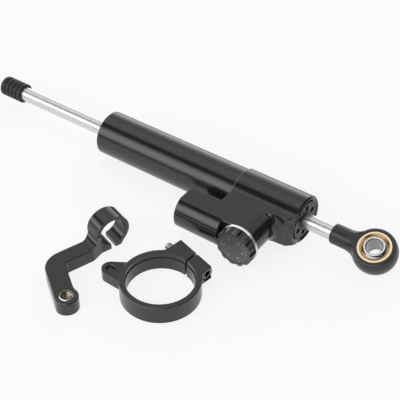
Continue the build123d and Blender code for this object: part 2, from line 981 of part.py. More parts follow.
def knob_screw():
    seat = knob_front - dial_recess - knob_floor + side_play
    top = seat + screw_head_length
    shank = bar(seat - screw_length + screw_head_length, seat, screw_radius)
    socket = hexagon(top - screw_head_length / 2, top + overrun, screw_socket)
    return on_knob_axis(shank + bar(seat, top, screw_head_radius) - socket)


# Reservoir

def reservoir_cap():
    left, right = reservoir_cap_left, reservoir_cap_right
    head_end = left + filler_head_length
    body = lathe(
        (left, filler_head_radius + side_play),
        (head_end, filler_head_radius + side_play),
        (head_end, filler_radius + fit),
        (right, filler_radius + fit),
        (right, reservoir_bore - fit),
        (left, reservoir_bore - fit),
    )
    return on_reservoir_axis(body - o_ring_groove(reservoir_ring_x, reservoir_bore, o_ring_section))


def reservoir_snap_ring():
    return on_reservoir_axis(inner_snap_ring(reservoir_cap_left - snap_thickness, reservoir_bore))


def filler_screw():
    left = reservoir_cap_left
    head_end = left + filler_head_length
    body = bar(left + fit, head_end, filler_head_radius) + bar(head_end, reservoir_cap_right, filler_radius)
    return on_reservoir_axis(body - hexagon(left - overrun, head_end - fit, filler_socket))


def floating_piston():
    """Dished piston that parts the oil from the gas."""
    left = reservoir_cap_right + float_place
    right = left + float_length
    outer = reservoir_bore - running
    body = lathe(
        (left, reservoir_bore - float_dish),
        (left + float_dish, reservoir_bore - 2 * float_dish),
        (left + float_dish, 0),
        (right, 0),
        (right, outer),
        (left, outer),
    )
    return on_reservoir_axis(body - o_ring_groove((left + right) / 2, outer, o_ring_section))


def floating_piston_o_ring():
    middle = reservoir_cap_right + float_place + float_length / 2
    return on_reservoir_axis(o_ring(middle, reservoir_bore - running, o_ring_section))


# Fork clamp

def at_clamp(shape):
    """Places a shape made about the clamp's bore, standing on z = 0."""
    return Pos(clamp_x, clamp_y, ground) * Rot(0, 0, clamp_turn) * shape


def up(start, end, radius):
    """Upright round bar."""
    return Pos(0, 0, start) * Cylinder(radius, end - start, align=(Align.CENTER, Align.CENTER, Align.MIN))


def along_bolt(shape):
    """Lays a shape made along X on to the pinch bolt's axis, pointing from its head to its tip."""
    return Pos(bolt_reach, 0, bolt_height) * Rot(0, 0, 90) * shape


def clamp_ear():
    """Ear beside the ring: an eye and the two straight sides that run into the ring."""
    # The ear was measured in the damper's frame, so it is turned back by the clamp's own turn.
    rise, fall = radians(ear_upper_slope), radians(ear_lower_slope)
    upper = (ear_x - ear_radius * sin(rise), ear_y + ear_radius * cos(rise))
    lower = (ear_x + ear_radius * sin(fall), ear_y - ear_radius * cos(fall))
    root_x = -sqrt(clamp_bore * clamp_radius) * ear_root_share
    upper_root = (root_x, upper[1] + (root_x - upper[0]) * tan(rise))
    lower_root = (root_x, lower[1] + (root_x - lower[0]) * tan(fall))
    web = make_face(Polyline(upper, upper_root, lower_root, lower, (ear_x, ear_y), close=True))
    eye = Pos(ear_x, ear_y) * Circle(ear_radius)
    return Rot(0, 0, -clamp_turn) * extrude(web + eye, ear_height)


def ear_drilling():
    """Hole through the ear, bevelled at both ends."""
    wide = ear_hole + ear_hole_chamfer
    drill = up(-overrun, ear_height + overrun, ear_hole)
    drill += Pos(0, 0, ear_height) * Cone(ear_hole, wide, ear_hole_chamfer,
                                          align=(Align.CENTER, Align.CENTER, Align.MAX))
    drill += Cone(wide, ear_hole, ear_hole_chamfer, align=(Align.CENTER, Align.CENTER, Align.MIN))
    return Rot(0, 0, -clamp_turn) * Pos(ear_x, ear_y, 0) * drill


def nearest_upright_edge(body, x, y):
    """The upright edge of a body that is nearest to a place in plan."""
    uprights = body.edges().filter_by(Axis.Z)
    return uprights.sort_by(lambda edge: hypot(edge.center().X - x, edge.center().Y - y))[0]


def fork_clamp_ring():
    lug_plan = make_face(Polyline((0, lug_side_left), (lug_reach_left, lug_side_left),
                                  (lug_reach_right, -lug_side_right), (0, -lug_side_right), close=True))
    body = up(0, clamp_height, clamp_radius) + extrude(lug_plan, clamp_height)
    root_left = sqrt(clamp_radius ** 2 - lug_side_left ** 2)
    root_right = sqrt(clamp_radius ** 2 - lug_side_right ** 2)
    body = fillet(nearest_upright_edge(body, root_left, lug_side_left), lug_blend_left)
    body = fillet(nearest_upright_edge(body, root_right, -lug_side_right), lug_blend_right)
    body = fillet(nearest_upright_edge(body, lug_reach_right, -lug_side_right), lug_round)
    rims = body.edges().filter_by(lambda edge: abs(edge.center().Z - clamp_height) < clamp_edge / 2)
    body = chamfer(rims, clamp_edge)
    body -= up(-overrun, lug_undercut, 2 * clamp_radius) - up(-overrun, lug_undercut, clamp_radius)
    body += clamp_ear()
    body -= up(-overrun, clamp_height + overrun, clamp_bore)
    body -= up(clamp_height - clamp_step_depth, clamp_height + overrun, clamp_bore + clamp_step)
    slot_height = 2 * clamp_height + overrun
    body -= Box(2 * lug_reach_left, lug_slot, slot_height, align=(Align.MIN, Align.CENTER, Align.CENTER))
    head_seat = counterbore_depth - lug_side_right
    body -= along_bolt(bar(-lug_side_right - overrun, head_seat, counterbore_radius))
    body -= along_bolt(bar(head_seat, 0, bolt_radius + bolt_clearance))
    body -= along_bolt(bar(0, lug_side_left + overrun, bolt_radius + running))
    return at_clamp(body - ear_drilling())


def clamp_bolt():
    """Socket-head bolt across the lugs."""
    seat = counterbore_depth - lug_side_right - side_play
    top = seat - bolt_head_length
    tip = seat + bolt_length
    body = lathe(
        (top, 0),
        (top, bolt_head_radius - bolt_chamfer),
        (top + bolt_chamfer, bolt_head_radius),
        (seat, bolt_head_radius),
        (seat, bolt_radius),
        (tip - bolt_chamfer, bolt_radius),
        (tip, bolt_radius - bolt_chamfer),
        (tip, 0),
    )
    return at_clamp(along_bolt(body - hexagon(top - overrun, top + bolt_socket_depth, bolt_socket)))


# Arm bracket

def at_arm(shape):
    """Places a shape made in the bracket's own frame, standing on z = 0."""
    return Pos(arm_x, arm_y, ground) * Rot(0, 0, arm_turn) * shape


def arm_plan():
    """Plan of the cranked arm: bar beside the ring, rounded corner, waisted leg and end boss."""
    slope = radians(arm_leg_slope)
    across = (sin(slope), -cos(slope))
    outer_boss = (arm_boss_x + arm_boss_radius * across[0], arm_boss_y + arm_boss_radius * across[1])
    inner_boss = (arm_boss_x - arm_waist_half * across[0], arm_boss_y - arm_waist_half * across[1])
    outer_corner = (-arm_bar_outer, outer_boss[1] - (outer_boss[0] + arm_bar_outer) * tan(slope))
    inner_corner = (arm_bar_inner, inner_boss[1] - (inner_boss[0] - arm_bar_inner) * tan(slope))
    blend_run = arm_blend_start - arm_blend_end
    points_and_rounds = [
        ((0, arm_slot_place), 0),
        ((-arm_ring_length, arm_slot_place), 0),
        ((-arm_ring_length, -arm_blend_end), blend_run / 2),
        ((-arm_bar_outer, -arm_blend_start), blend_run / 2),
        (outer_corner, arm_corner_round),
        (outer_boss, 0),
        (inner_boss, 0),
        (inner_corner, arm_elbow_round),
        ((arm_bar_inner, -arm_blend_start), blend_run / 2),
        ((0, -arm_blend_end), blend_run / 2),
    ]
    points = [point for point, _ in points_and_rounds]
    rounds = [radius for _, radius in points_and_rounds]
    arm = make_face(FilletPolyline(*points, radius=rounds, close=True))
    arm += Pos(arm_boss_x, arm_boss_y) * Circle(arm_boss_radius)
    neck = arm_boss_radius ** 2 - arm_waist_half ** 2
    neck_x = inner_boss[0] - sqrt(neck) * cos(slope)
    neck_y = inner_boss[1] - sqrt(neck) * sin(slope)
    corner = arm.vertices().sort_by(lambda vertex: hypot(vertex.X - neck_x, vertex.Y - neck_y))[0]
    return fillet(corner, arm_waist_round)


def arm_ring_section():
    """Side view of the open ring: (across, height), with the jaw that ends in a foot."""
    ring = Pos(arm_ring_place, arm_ring_height) * Circle(arm_ring_radius)
    slot_end = arm_slot_place + arm_slot_width
    jaw = make_face(Polyline(
        (slot_end, arm_ring_height),
        (slot_end, arm_jaw_lift),
        (arm_jaw_foot, arm_jaw_lift),
        (arm_jaw_side, arm_jaw_height),
        (arm_ring_place, arm_ring_height),
        close=True,
    ))
    opening = Pos(arm_slot_place + arm_slot_width / 2, 0) * Rectangle(arm_slot_width, 2 * arm_ring_height)
    return ring + jaw - opening - arm_bore_section()


def arm_bore_section():
    return Pos(arm_ring_place, arm_ring_height) * Circle(arm_ring_bore)


def arm_shoulder_section():
    """Side view of the shoulder from the bar up to the ring, hollowed on its free side."""
    reach = arm_ring_radius + arm_ring_blend
    blend_z = arm_thickness + arm_ring_blend
    blend_x = arm_ring_place - sqrt(reach ** 2 - (arm_ring_height - blend_z) ** 2)
    share = arm_ring_radius / reach
    touch = (arm_ring_place + (blend_x - arm_ring_place) * share,
             arm_ring_height + (blend_z - arm_ring_height) * share)
    shoulder = make_face(Polyline(
        (blend_x, 0),
        (arm_slot_place, 0),
        (arm_slot_place, arm_ring_height),
        touch,
        (blend_x, arm_thickness),
        close=True,
    ))
    return shoulder - Pos(blend_x, blend_z) * Circle(arm_ring_blend) - arm_bore_section()


def arm_bracket():
    body = extrude(arm_plan(), arm_thickness)
    rims = body.edges().filter_by(lambda edge: abs(edge.center().Z - arm_thickness) < arm_edge / 2)
    rims = rims.filter_by(lambda edge: edge.center().Y < -arm_blend_end)
    body = chamfer(rims, arm_edge)
    shoulder = extrude(Plane.YZ * arm_shoulder_section(), arm_ring_length, both=True)
    body += shoulder & extrude(arm_plan(), 2 * arm_ring_height)
    body -= extrude(Plane.YZ * arm_bore_section(), 2 * arm_ring_length, both=True)
    body += extrude(Plane.YZ * arm_ring_section(), -arm_ring_length)
    body -= Pos(arm_boss_x, arm_boss_y, 0) * up(-overrun, arm_thickness + overrun, insert_radius + fit)
    return at_arm(body)


def arm_bush():
    """Bright threaded insert in the end boss, just proud of it."""
    top = arm_thickness + insert_proud
    body = turned_z(
        (insert_bore, insert_chamfer),
        (insert_bore + insert_chamfer, 0),
        (insert_radius - insert_chamfer, 0),
        (insert_radius, insert_chamfer),
        (insert_radius, top - insert_chamfer),
        (insert_radius - insert_chamfer, top),
        (insert_bore + insert_chamfer, top),
        (insert_bore, top - insert_chamfer),
    )
    return at_arm(Pos(arm_boss_x, arm_boss_y, 0) * body)


# Every piece and the name it is known by
pieces = {
    "main_tube": main_tube(),
    "inner_cylinder": inner_cylinder(),
    "left_gland": left_gland(),
    "left_rod_bush": tube(gland_face + wiper_length + seal_length, gland_end, bush_radius - fit, rod_hole),
    "left_rod_seal": rod_seal(gland_face + wiper_length + seal_length, -1),
    "left_wiper": rod_wiper(gland_face, -1),
    "left_gland_o_ring": o_ring(gland_groove_x, tube_bore, o_ring_section),
    "left_snap_ring": inner_snap_ring(gland_face - snap_thickness, tube_bore),
    "tube_o_ring": o_ring(tube_right + thin_ring_section / 2 + fit, tube_neck_radius, thin_ring_section),
    "valve_housing": valve_housing(),
    "end_gland_nut": end_gland_nut(),
    "right_rod_bush": tube(nut_left, nut_face - wiper_length - seal_length, bush_radius - fit, rod_hole),
    "right_rod_seal": rod_seal(nut_face - wiper_length - seal_length, 1),
    "right_wiper": rod_wiper(nut_face, 1),
    "right_gland_o_ring": o_ring(nut_groove_x, nut_radius, o_ring_section),
    "piston": piston(),
    "piston_ring": piston_ring(),
    "piston_clips": piston_clips(),
    "piston_rod": piston_rod(),
    "rod_cap": rod_cap(),
    "rod_end_housing": rod_end_housing(),
    "rod_end_race": rod_end_race(),
    "rod_end_ball": rod_end_ball(),
    "needle_seat": needle_seat(),
    "adjuster_needle": adjuster_needle(),
    "adjuster_spindle": adjuster_spindle(),
    "spindle_o_ring": spindle_o_ring(),
    "adjuster_washer": adjuster_washer(),
    "washer_screws": washer_screws(),
    "adjuster_knob": adjuster_knob(),
    "knob_face": knob_face(),
    "knob_screw": knob_screw(),
    "detent_ball": detent_ball(),
    "detent_spring": detent_spring(),
    "reservoir_cap": reservoir_cap(),
    "reservoir_cap_o_ring": on_reservoir_axis(o_ring(reservoir_ring_x, reservoir_bore, o_ring_section)),
    "reservoir_snap_ring": reservoir_snap_ring(),
    "filler_screw": filler_screw(),
    "floating_piston": floating_piston(),
    "floating_piston_o_ring": floating_piston_o_ring(),
    "fork_clamp_ring": fork_clamp_ring(),
    "clamp_bolt": clamp_bolt(),
    "arm_bracket": arm_bracket(),
    "arm_bush": arm_bush(),
}

for name, piece in pieces.items():
    export_step(piece, f"parts/{name}.step")
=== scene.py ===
import math

import bmesh
import bpy
from mathutils import Matrix, Vector


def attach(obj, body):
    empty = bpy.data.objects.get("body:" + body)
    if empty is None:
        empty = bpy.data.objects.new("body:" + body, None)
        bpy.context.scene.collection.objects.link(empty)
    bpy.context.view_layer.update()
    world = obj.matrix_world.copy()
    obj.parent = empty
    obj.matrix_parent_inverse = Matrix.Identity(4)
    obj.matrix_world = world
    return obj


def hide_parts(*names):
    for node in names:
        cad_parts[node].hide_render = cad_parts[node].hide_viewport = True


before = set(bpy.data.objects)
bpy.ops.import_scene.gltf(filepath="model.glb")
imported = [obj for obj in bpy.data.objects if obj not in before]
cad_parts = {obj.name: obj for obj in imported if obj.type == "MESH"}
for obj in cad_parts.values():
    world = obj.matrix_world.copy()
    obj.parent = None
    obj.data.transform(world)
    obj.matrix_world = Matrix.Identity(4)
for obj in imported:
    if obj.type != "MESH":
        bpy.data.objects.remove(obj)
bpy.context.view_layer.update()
scene = bpy.context.scene
MM = 0.001


# Camera
# The place, aim and lens were fitted to the photograph's edges, with the tube's axis as +X.
# The picture is square, so the lens covers 21.7 degrees both ways.
CAMERA_PLACE = (0.3288, -0.4282, 0.4266)
CAMERA_TURN = (49.52, 0.0, 35.70)
CAMERA_LENS = 93.906
CAMERA_SENSOR = 36.0
CAMERA_NEAR = 0.01
CAMERA_FAR = 20.0

camera_data = bpy.data.cameras.new("camera")
camera_data.sensor_width = CAMERA_SENSOR
camera_data.lens = CAMERA_LENS
camera_data.clip_start = CAMERA_NEAR
camera_data.clip_end = CAMERA_FAR
camera = bpy.data.objects.new("camera", camera_data)
camera.location = CAMERA_PLACE
camera.rotation_euler = [math.radians(turn) for turn in CAMERA_TURN]
scene.collection.objects.link(camera)
scene.camera = camera
scene.view_settings.view_transform = "Standard"


# Studio
# A tent of long soft boxes that run beside the damper, with one dark gap between two of them.
# Each stop is a share of the half circle from the front horizon over the top to the back one.
# The boxes stop short of the right-hand end, so the room is dark low down on that side.
STUDIO_STOPS = (
    (0.00, 0.25),
    (0.05, 0.30),
    (0.10, 2.30),
    (0.19, 2.70),
    (0.27, 1.60),
    (0.32, 0.04),
    (0.41, 0.04),
    (0.45, 1.00),
    (0.60, 1.00),
    (0.66, 0.70),
    (0.77, 0.64),
    (0.83, 1.10),
    (0.90, 1.90),
    (1.00, 2.60),
)
RIGHT_END_SLOPE = -0.9
RIGHT_END_STOPS = ((0.49, 1.0), (0.58, 0.05))
HALF = 0.5
WHITE = (1.0, 1.0, 1.0)


def put(tree, socket, value):
    """Sets an input to a number, vector or colour, or links another node's output to it."""
    if isinstance(value, bpy.types.NodeSocket):
        tree.links.new(value, socket)
    elif socket.type == "RGBA":
        socket.default_value = (*value, 1.0)
    else:
        socket.default_value = value


def add_node(tree, kind, inputs=(), **settings):
    """New node with its settings and its (input, value) pairs."""
    node = tree.nodes.new(kind)
    for name, value in settings.items():
        setattr(node, name, value)
    for name, value in inputs:
        put(tree, node.inputs[name], value)
    return node


def calculate(tree, operation, *values, clamp=False):
    """Math node; each value is a number or an output."""
    pairs = list(enumerate(values))
    return add_node(tree, "ShaderNodeMath", pairs, operation=operation, use_clamp=clamp).outputs[0]


def ramp(tree, value, stops):
    """Grey ramp with straight stretches between its (place, level) stops."""
    node = add_node(tree, "ShaderNodeValToRGB", [(0, value)])
    elements = node.color_ramp.elements
    while len(elements) < len(stops):
        elements.new(1.0)
    for element, (place, level) in zip(elements, stops):
        element.position = place
        element.color = (level, level, level, 1.0)
    return node.outputs[0]


def blend(tree, factor, first, second):
    """Mixes two colours. A Mix node takes them at its inputs 6 and 7, and its output 2 is the colour."""
    mix = add_node(tree, "ShaderNodeMix", data_type="RGBA")
    for index, value in zip((0, 6, 7), (factor, first, second)):
        put(tree, mix.inputs[index], value)
    return mix.outputs[2]


world = bpy.data.worlds.new("studio")
scene.world = world
world.use_nodes = True
sky = world.node_tree
sky.nodes.clear()
direction = add_node(sky, "ShaderNodeTexCoord").outputs["Generated"]
sight = add_node(sky, "ShaderNodeSeparateXYZ", [(0, direction)]).outputs
front = calculate(sky, "MULTIPLY", sight["Y"], -1.0)
angle_over_front = calculate(sky, "ARCTAN2", sight["Z"], front)
half_circle_share = calculate(sky, "DIVIDE", angle_over_front, math.pi, clamp=True)
soft_boxes = ramp(sky, half_circle_share, STUDIO_STOPS)

# A ramp reads from 0 to 1, so the way to the right-hand end, from -1 to 1, is halved and moved up by a half.
lowness = calculate(sky, "MULTIPLY", sight["Z"], RIGHT_END_SLOPE)
to_the_right = calculate(sky, "ADD", sight["X"], lowness)
right_end = calculate(sky, "MULTIPLY_ADD", to_the_right, HALF, HALF)
soft_boxes = calculate(sky, "MULTIPLY", soft_boxes, ramp(sky, right_end, RIGHT_END_STOPS))
seen_directly = add_node(sky, "ShaderNodeLightPath").outputs["Is Camera Ray"]
backdrop = blend(sky, seen_directly, soft_boxes, WHITE)
studio_light = add_node(sky, "ShaderNodeBackground", [("Color", backdrop)])
add_node(sky, "ShaderNodeOutputWorld", [("Surface", studio_light.outputs[0])])


# Floor
# One wide sheet of matt white paper under everything, at the level of the housing's underside.
# It shows part of its own white to the camera and in reflections, so its soft shadows stay faint.
FLOOR_LEVEL = -16.0
FLOOR_SIZE = 9000.0
FLOOR_WHITE = (0.92, 0.92, 0.92)
FLOOR_ROUGHNESS = 0.9
FLOOR_FIBRES = 900.0
FLOOR_RELIEF = 0.05
FLOOR_OWN_WHITE = 0.84


def new_material(name, **finish):
    """Material with its Principled shader linked to the output and the shader's own fixed finish."""
    material = bpy.data.materials.new(name)
    material.use_nodes = True
    tree = material.node_tree
    tree.nodes.clear()
    shader = add_node(tree, "ShaderNodeBsdfPrincipled")
    for label, value in finish.items():
        put(tree, shader.inputs[label.replace("_", " ")], value)
    add_node(tree, "ShaderNodeOutputMaterial", [("Surface", shader.outputs[0])])
    return material, tree, shader


def new_piece(name, mesh, material):
    """Object at the origin from a finished bmesh, with one material."""
    data = bpy.data.meshes.new(name)
    mesh.to_mesh(data)
    mesh.free()
    data.materials.append(material)
    piece = bpy.data.objects.new(name, data)
    scene.collection.objects.link(piece)
    return piece


def bump(tree, height, depth, normal=None):
    """Bump node for a height between 0 and 1 that stands for a depth in mm."""
    inputs = [("Height", height), ("Strength", 1.0), ("Distance", depth * MM)]
    if normal:
        inputs.append(("Normal", normal))
    return add_node(tree, "ShaderNodeBump", inputs).outputs[0]


paper, tree, shader = new_material(
    "paper", Base_Color=FLOOR_WHITE, Roughness=FLOOR_ROUGHNESS, Specular_IOR_Level=0.0)
paper_place = add_node(tree, "ShaderNodeTexCoord").outputs["Object"]
fibres = add_node(tree, "ShaderNodeTexNoise", [("Vector", paper_place), ("Scale", FLOOR_FIBRES)])
put(tree, shader.inputs["Normal"], bump(tree, fibres.outputs[0], FLOOR_RELIEF))
rays = add_node(tree, "ShaderNodeLightPath").outputs
seen_or_mirrored = calculate(tree, "MAXIMUM", rays["Is Camera Ray"], rays["Is Glossy Ray"])
seen = calculate(tree, "MAXIMUM", seen_or_mirrored, rays["Is Transmission Ray"])
own_share = calculate(tree, "MULTIPLY", seen, FLOOR_OWN_WHITE)
own_white = add_node(tree, "ShaderNodeEmission", [("Color", WHITE)])
shown = add_node(tree, "ShaderNodeMixShader", [
    (0, own_share), (1, shader.outputs[0]), (2, own_white.outputs[0]),
])
put(tree, tree.nodes["Material Output"].inputs["Surface"], shown.outputs[0])
floor_mesh = bmesh.new()
bmesh.ops.create_grid(floor_mesh, x_segments=1, y_segments=1, size=FLOOR_SIZE / 2 * MM)
bmesh.ops.translate(floor_mesh, verts=floor_mesh.verts[:], vec=(0, 0, FLOOR_LEVEL * MM))
floor = new_piece("floor", floor_mesh, paper)


# Main tube
# A turned aluminium tube of 30 mm, polished and black anodised, so it keeps clear soft-box streaks.
# The lathe leaves fine rings round it, and hands leave faint dull patches.
DAMPER_CENTRE = (0.0, 0.0, 0.0)
ALONG_X = (1.0, 0.0, 0.0)
ANODISED_BLACK = (0.0095, 0.0093, 0.0090)
# Paler edge colour: partly rubbed wear, partly a painted highlight on the edges.
ANODISED_RUBBED_HIGHLIGHT = (0.17, 0.17, 0.17)
ANODISED_BAND_GAIN = 1.5
ANODISED_IOR = 1.62
TUBE_FINISH = {
    "roughness": 0.19,
    "spread": 0.035,
    "line_pitch": 0.35,
    "line_depth": 0.0012,
    "grain_size": 0.3,
    "grain_depth": 0.0006,
}
FINE_RING_SCALE = 1.0
FINE_RING_DETAIL = 2.0
BROAD_RING_SCALE = 0.11
BROAD_RING_DETAIL = 1.0
EDGE_WIDTH = 0.28
EDGE_GAIN = 9.0
EDGE_SAMPLES = 6
EDGE_BREAK_SCALE = 0.9
PATCH_SIZE = 16.0
PATCH_DETAIL = 4.0
PATCH_ROUGHNESS = 0.6
SPECK_SCALE = 2.3
GRAIN_DETAIL = 2.0


def new_group(name, inputs, outputs):
    """Node group with named inputs and outputs; returns it with its two end nodes."""
    kinds = {"value": "NodeSocketFloat", "vector": "NodeSocketVector"}
    group = bpy.data.node_groups.new(name, "ShaderNodeTree")
    for label, kind in inputs:
        group.interface.new_socket(name=label, in_out="INPUT", socket_type=kinds[kind])
    for label, kind in outputs:
        group.interface.new_socket(name=label, in_out="OUTPUT", socket_type=kinds[kind])
    return group, add_node(group, "NodeGroupInput"), add_node(group, "NodeGroupOutput")


def use_group(tree, group, *values):
    """Group node in a material, its inputs given in order; returns its outputs."""
    node = add_node(tree, "ShaderNodeGroup", node_tree=group)
    for socket, value in zip(node.inputs, values):
        put(tree, socket, value)
    return node.outputs


def ring_noise(tree, place, scale, detail):
    """One-dimensional noise between 0 and 1 along a way."""
    inputs = [("W", place), ("Scale", scale), ("Detail", detail)]
    return add_node(tree, "ShaderNodeTexNoise", inputs, noise_dimensions="1D").outputs[0]


def noise(tree, coordinate, scale, detail=3.0, roughness=0.5):
    """Three-dimensional noise between 0 and 1."""
    inputs = [("Vector", coordinate), ("Scale", scale), ("Detail", detail), ("Roughness", roughness)]
    return add_node(tree, "ShaderNodeTexNoise", inputs).outputs[0]


def between(tree, value, low, high):
    """Spreads a value between 0 and 1 over a range."""
    inputs = [("Value", value), ("To Min", low), ("To Max", high)]
    return add_node(tree, "ShaderNodeMapRange", inputs).outputs[0]


def piece_coordinate(tree, centre, axis):
    """Object coordinate in mm, centred on a piece and turned so that its axis is X."""
    turn = Vector(axis).to_track_quat("X", "Y").to_euler()
    mapping = add_node(tree, "ShaderNodeMapping", [
        ("Vector", add_node(tree, "ShaderNodeTexCoord").outputs["Object"]),
        ("Location", [value * MM for value in centre]),
        ("Rotation", turn),
        ("Scale", (MM, MM, MM)),
    ], vector_type="TEXTURE")
    return mapping.outputs[0]


def axis_radius(tree, coordinate):
    """Distance from the axis along X, with the way along it."""
    parts = add_node(tree, "ShaderNodeSeparateXYZ", [(0, coordinate)])
    across = add_node(tree, "ShaderNodeCombineXYZ", [("X", parts.outputs["Y"]), ("Y", parts.outputs["Z"])])
    radius = add_node(tree, "ShaderNodeVectorMath", [(0, across.outputs[0])], operation="LENGTH")
    return radius.outputs["Value"], parts.outputs["X"]


# Rings that a lathe leaves. They follow the way along the axis and the radius, so end faces show them too.
turned_lines, given, result = new_group(
    "Turned Lines", [("Coordinate", "vector"), ("Pitch", "value")], [("Height", "value"), ("Tone", "value")]
)
path = calculate(turned_lines, "ADD", *axis_radius(turned_lines, given.outputs["Coordinate"]))
ring_place = calculate(turned_lines, "DIVIDE", path, given.outputs["Pitch"])
fine_rings = ring_noise(turned_lines, ring_place, FINE_RING_SCALE, FINE_RING_DETAIL)
broad_rings = ring_noise(turned_lines, ring_place, BROAD_RING_SCALE, BROAD_RING_DETAIL)
put(turned_lines, result.inputs["Height"], fine_rings)
put(turned_lines, result.inputs["Tone"], broad_rings)

# Rubbed edges with painted highlights: the paler edge colour is partly wear and partly painted light on the
# chamfers. The bevelled normal differs from the true one only beside an edge.
edge_wear_and_highlight, given, result = new_group(
    "Edge Wear And Highlight", [("Coordinate", "vector"), ("Width", "value")], [("Edge", "value"), ("Normal", "vector")]
)
width = calculate(edge_wear_and_highlight, "MULTIPLY", given.outputs["Width"], MM)
softened = add_node(edge_wear_and_highlight, "ShaderNodeBevel", [("Radius", width)], samples=EDGE_SAMPLES)
true_normal = add_node(edge_wear_and_highlight, "ShaderNodeNewGeometry").outputs["Normal"]
agreement = add_node(edge_wear_and_highlight, "ShaderNodeVectorMath", [(0, softened.outputs[0]), (1, true_normal)],
                     operation="DOT_PRODUCT")
turned_away = calculate(edge_wear_and_highlight, "SUBTRACT", 1.0, agreement.outputs["Value"])
edge_band = calculate(edge_wear_and_highlight, "MULTIPLY", turned_away, EDGE_GAIN, clamp=True)
broken = noise(edge_wear_and_highlight, given.outputs["Coordinate"], EDGE_BREAK_SCALE)
rubbed_and_highlit = calculate(edge_wear_and_highlight, "MULTIPLY", edge_band, broken, clamp=True)
put(edge_wear_and_highlight, result.inputs["Edge"], rubbed_and_highlit)
put(edge_wear_and_highlight, result.inputs["Normal"], softened.outputs[0])

# Patches that hands and cloths leave: broad ones with a finer break-up.
handling, given, result = new_group(
    "Handling", [("Coordinate", "vector"), ("Size", "value")], [("Patches", "value"), ("Specks", "value")]
)
patch_scale = calculate(handling, "DIVIDE", 1.0, given.outputs["Size"])
patches = noise(handling, given.outputs["Coordinate"], patch_scale, PATCH_DETAIL, PATCH_ROUGHNESS)
specks = noise(handling, given.outputs["Coordinate"], SPECK_SCALE, GRAIN_DETAIL)
put(handling, result.inputs["Patches"], patches)
put(handling, result.inputs["Specks"], specks)


def anodised(name, centre, axis, roughness, spread, line_pitch, line_depth, grain_size, grain_depth,
             dye=ANODISED_BLACK, front=None, rim=None, ior=ANODISED_IOR):
    """Black anodised aluminium: turned rings, blasted grain, rubbed edges with painted highlights and dull
    patches.

    front is a station along the axis and the paler grey, a painted reflection, of what lies beyond it.
    rim is two stations, the greatest radius between them, and the painted highlight on the rim's chamfer
    there."""
    material, tree, shader = new_material(name, IOR=ior)
    coordinate = piece_coordinate(tree, centre, axis)
    lines = use_group(tree, turned_lines, coordinate, line_pitch)
    wear_and_highlight = use_group(tree, edge_wear_and_highlight, coordinate, EDGE_WIDTH)
    hands = use_group(tree, handling, coordinate, PATCH_SIZE)
    grain = noise(tree, coordinate, 1.0 / grain_size, GRAIN_DETAIL)
    lined = bump(tree, lines["Height"], line_depth, wear_and_highlight["Normal"])
    put(tree, shader.inputs["Normal"], bump(tree, grain, grain_depth, lined))
    dulled = between(tree, hands["Patches"], roughness - spread, roughness + spread)
    put(tree, shader.inputs["Roughness"], dulled)
    colour = blend(tree, lines["Tone"], dye, [level * ANODISED_BAND_GAIN for level in dye])
    # Paints a paler grey, a painted reflection, beyond the station.
    if front:
        station, paler_reflection = front
        way = axis_radius(tree, coordinate)[1]
        colour = blend(tree, calculate(tree, "GREATER_THAN", way, station), colour, paler_reflection)
    # Paints a highlight on a rim chamfer.
    if rim:
        start, end, greatest_radius, rim_highlight = rim
        radius, way = axis_radius(tree, coordinate)
        past_start = calculate(tree, "GREATER_THAN", way, start)
        before_end = calculate(tree, "LESS_THAN", way, end)
        near_axis = calculate(tree, "LESS_THAN", radius, greatest_radius)
        on_rim = calculate(tree, "MULTIPLY", calculate(tree, "MULTIPLY", past_start, before_end), near_axis)
        colour = blend(tree, on_rim, colour, rim_highlight)
    # The edge mask paints the edges paler: partly rubbed wear, partly a painted highlight.
    put(tree, shader.inputs["Base Color"], blend(tree, wear_and_highlight["Edge"], colour, ANODISED_RUBBED_HIGHLIGHT))
    return material


def dress(material, *names):
    """Gives CAD nodes a better material in their material slots."""
    for name in names:
        for material_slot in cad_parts[name].material_slots:
            material_slot.material = material


dress(anodised("tube_anodised", DAMPER_CENTRE, ALONG_X, **TUBE_FINISH), "main_tube")


# Valve housing, end nut and reservoir cap
# The housing is milled from one aluminium block and black anodised, and its sleeve's rim chamfer has a
# painted highlight.
# The gland nut and the cap are turned from bar, anodised too, and keep clear lathe rings.
HOUSING_FINISH = {
    "roughness": 0.17,
    "spread": 0.03,
    "line_pitch": 0.8,
    "line_depth": 0.001,
    "grain_size": 0.35,
    "grain_depth": 0.0025,
}
SLEEVE_RIM_START = 53.95
SLEEVE_RIM_END = 54.75
SLEEVE_RIM_RADIUS = 18.0
# The painted highlight on the sleeve's rim chamfer.
SLEEVE_RIM_HIGHLIGHT = (0.11, 0.11, 0.11)
NUT_FINISH = {
    "roughness": 0.26,
    "spread": 0.04,
    "line_pitch": 0.4,
    "line_depth": 0.003,
    "grain_size": 0.3,
    "grain_depth": 0.001,
}
NUT_IOR = 1.33
RESERVOIR_CENTRE = (50.0, -33.5, 0.0)

sleeve_rim_highlight = (SLEEVE_RIM_START, SLEEVE_RIM_END, SLEEVE_RIM_RADIUS, SLEEVE_RIM_HIGHLIGHT)
dress(anodised("housing_anodised", DAMPER_CENTRE, ALONG_X, rim=sleeve_rim_highlight, **HOUSING_FINISH), "valve_housing")
dress(anodised("nut_anodised", DAMPER_CENTRE, ALONG_X, ior=NUT_IOR, **NUT_FINISH), "end_gland_nut")
dress(anodised("reservoir_cap_anodised", RESERVOIR_CENTRE, ALONG_X, **NUT_FINISH), "reservoir_cap")


